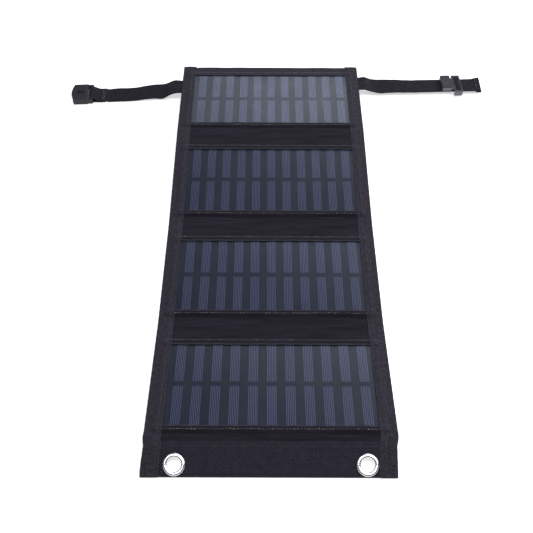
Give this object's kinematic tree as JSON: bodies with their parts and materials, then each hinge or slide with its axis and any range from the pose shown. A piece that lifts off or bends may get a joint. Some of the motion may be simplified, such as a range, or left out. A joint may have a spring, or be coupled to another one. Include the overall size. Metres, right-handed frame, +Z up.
{
  "type": "folding solar panel",
  "caption": "Cloth-bound solar charger that folds like a concertina, with an eyeleted end flap, a regulator box at the back and straps with a side buckle.",
  "frame": {"origin": "on the ground, at mid length and mid width, on the underside of the third panel, the one that lies flat", "axes": "+X across the panels, +Y along them towards the strap end, +Z up, out of the cells"},
  "size_m": [0.4415, 0.4711, 0.0147],
  "materials": {
    "front_cloth": "matte woven nylon",
    "back_cloth": "matte woven nylon with a coated back",
    "binding_tape": "matte ribbed tape",
    "webbing": "ribbed webbing",
    "module_board": "dark blue-grey laminate",
    "solar_cell": "blue-grey silicon with fine silver fingers",
    "clear_film": "clear satin film",
    "copper_ribbon": "tinned copper ribbon",
    "bright_metal": "nickel plated",
    "circuit_board": "green solder mask",
    "box_plastic": "fine textured moulding",
    "buckle_plastic": "fine textured moulding"
  },
  "bodies": {
    "panel_1": {"back_cloth_1": "back_cloth", "binding_left_1": "binding_tape", "binding_right_1": "binding_tape", "cell_string_1": "solar_cell", "cover_film_1": "clear_film", "lower_strip_1": "front_cloth", "module_board_1": "module_board", "upper_strip_1": "front_cloth", "output_socket_shell": "bright_metal", "regulator_base": "box_plastic", "regulator_circuit_board": "circuit_board", "regulator_cover": "box_plastic", "strap_anchor_left": "webbing", "strap_anchor_right": "webbing"},
    "panel_2": {"back_cloth_2": "back_cloth", "binding_left_2": "binding_tape", "binding_right_2": "binding_tape", "cell_string_2": "solar_cell", "cover_film_2": "clear_film", "lower_strip_2": "front_cloth", "module_board_2": "module_board", "upper_strip_2": "front_cloth"},
    "panel_3": {"back_cloth_3": "back_cloth", "binding_left_3": "binding_tape", "binding_right_3": "binding_tape", "cell_string_3": "solar_cell", "cover_film_3": "clear_film", "lower_strip_3": "front_cloth", "module_board_3": "module_board", "upper_strip_3": "front_cloth"},
    "panel_4": {"back_cloth_4": "back_cloth", "binding_left_4": "binding_tape", "binding_right_4": "binding_tape", "cell_string_4": "solar_cell", "cover_film_4": "clear_film", "lower_strip_4": "front_cloth", "module_board_4": "module_board", "upper_strip_4": "front_cloth"},
    "crease_1_2": {"crease_cloth_1_2": "front_cloth", "jumper_1_2": "copper_ribbon"},
    "crease_2_3": {"crease_cloth_2_3": "front_cloth", "jumper_2_3": "copper_ribbon"},
    "crease_3_4": {"crease_cloth_3_4": "front_cloth", "jumper_3_4": "copper_ribbon"},
    "crease_4_flap": {"crease_cloth_4_flap": "front_cloth"},
    "flap": {"eyelet_left": "bright_metal", "eyelet_right": "bright_metal", "eyelet_washer_left": "bright_metal", "eyelet_washer_right": "bright_metal", "flap_binding_left": "binding_tape", "flap_binding_right": "binding_tape", "flap_cloth": "front_cloth"},
    "strap_left_side": {"strap_left_side": "webbing"},
    "strap_left_end": {"strap_left_end": "webbing"},
    "strap_right_side": {"strap_right_side": "webbing"},
    "strap_right_end": {"strap_right_end": "webbing"},
    "buckle_socket": {"buckle_socket": "buckle_plastic"},
    "release_button": {"release_button": "buckle_plastic"},
    "buckle_plug": {"buckle_plug": "buckle_plastic"}
  },
  "joints": [
    {"name": "fold_1_2", "type": "hinge", "parent": "panel_1", "child": "crease_1_2", "pos_m": [0, 0.13473, 0.0107], "axis": [-1, 0, 0], "range_deg": [-10, 91.5]},
    {"name": "fold_1_2_second", "type": "hinge", "parent": "crease_1_2", "child": "panel_2", "pos_m": [0, 0.12673, 0.01036], "axis": [-1, 0, 0], "range_deg": [-10, 91.5]},
    {"name": "fold_2_3", "type": "hinge", "parent": "panel_2", "child": "crease_2_3", "pos_m": [0, 0.02064, 0.00107], "axis": [1, 0, 0], "range_deg": [-10, 89.5]},
    {"name": "fold_2_3_second", "type": "hinge", "parent": "crease_2_3", "child": "panel_3", "pos_m": [0, 0.01265, 0.00072], "axis": [1, 0, 0], "range_deg": [-10, 89.5]},
    {"name": "fold_3_4", "type": "hinge", "parent": "panel_3", "child": "crease_3_4", "pos_m": [0, -0.09385, 0.00072], "axis": [-1, 0, 0], "range_deg": [-13, 86]},
    {"name": "fold_3_4_second", "type": "hinge", "parent": "crease_3_4", "child": "panel_4", "pos_m": [0, -0.10184, 0.00114], "axis": [-1, 0, 0], "range_deg": [-13, 86]},
    {"name": "fold_4_flap", "type": "hinge", "parent": "panel_4", "child": "crease_4_flap", "pos_m": [0, -0.20776, 0.01228], "axis": [1, 0, 0], "range_deg": [-45, 72]},
    {"name": "fold_4_flap_second", "type": "hinge", "parent": "crease_4_flap", "child": "flap", "pos_m": [0, -0.21562, 0.01082], "axis": [1, 0, 0], "range_deg": [-45, 72]},
    {"name": "strap_left_bend", "type": "hinge", "parent": "panel_1", "child": "strap_left_side", "pos_m": [-0.0962, 0.20423, 0.00923], "axis": [-0.0593, 0.9982, 0], "range_deg": [-80, 95.8]},
    {"name": "strap_left_second_bend", "type": "hinge", "parent": "strap_left_side", "child": "strap_left_end", "pos_m": [-0.14784, 0.20116, 0.00395], "axis": [-0.0593, 0.9982, 0], "range_deg": [-84, 84.2]},
    {"name": "strap_right_bend", "type": "hinge", "parent": "panel_1", "child": "strap_right_side", "pos_m": [0.0962, 0.21053, 0.00923], "axis": [0.0384, -0.9993, 0], "range_deg": [-80, 95.1]},
    {"name": "strap_right_second_bend", "type": "hinge", "parent": "strap_right_side", "child": "strap_right_end", "pos_m": [0.14796, 0.21251, 0.0046], "axis": [0.0384, -0.9993, 0], "range_deg": [-84, 84.9]},
    {"name": "buckle_socket_swivel", "type": "hinge", "parent": "strap_left_end", "child": "buckle_socket", "pos_m": [-0.19226, 0.19852, 0.00395], "axis": [0.0593, -0.9982, 0], "range_deg": [-60, 60]},
    {"name": "release_button_press", "type": "slide", "parent": "buckle_socket", "child": "release_button", "axis": [0, 0, -1], "range_m": [0, 0.0012], "stiffness_N_per_m": 600},
    {"name": "buckle_plug_adjust", "type": "slide", "parent": "strap_right_end", "child": "buckle_plug", "axis": [0.9993, 0.0384, 0], "range_m": [-0.028, 0.0125]}
  ]
}
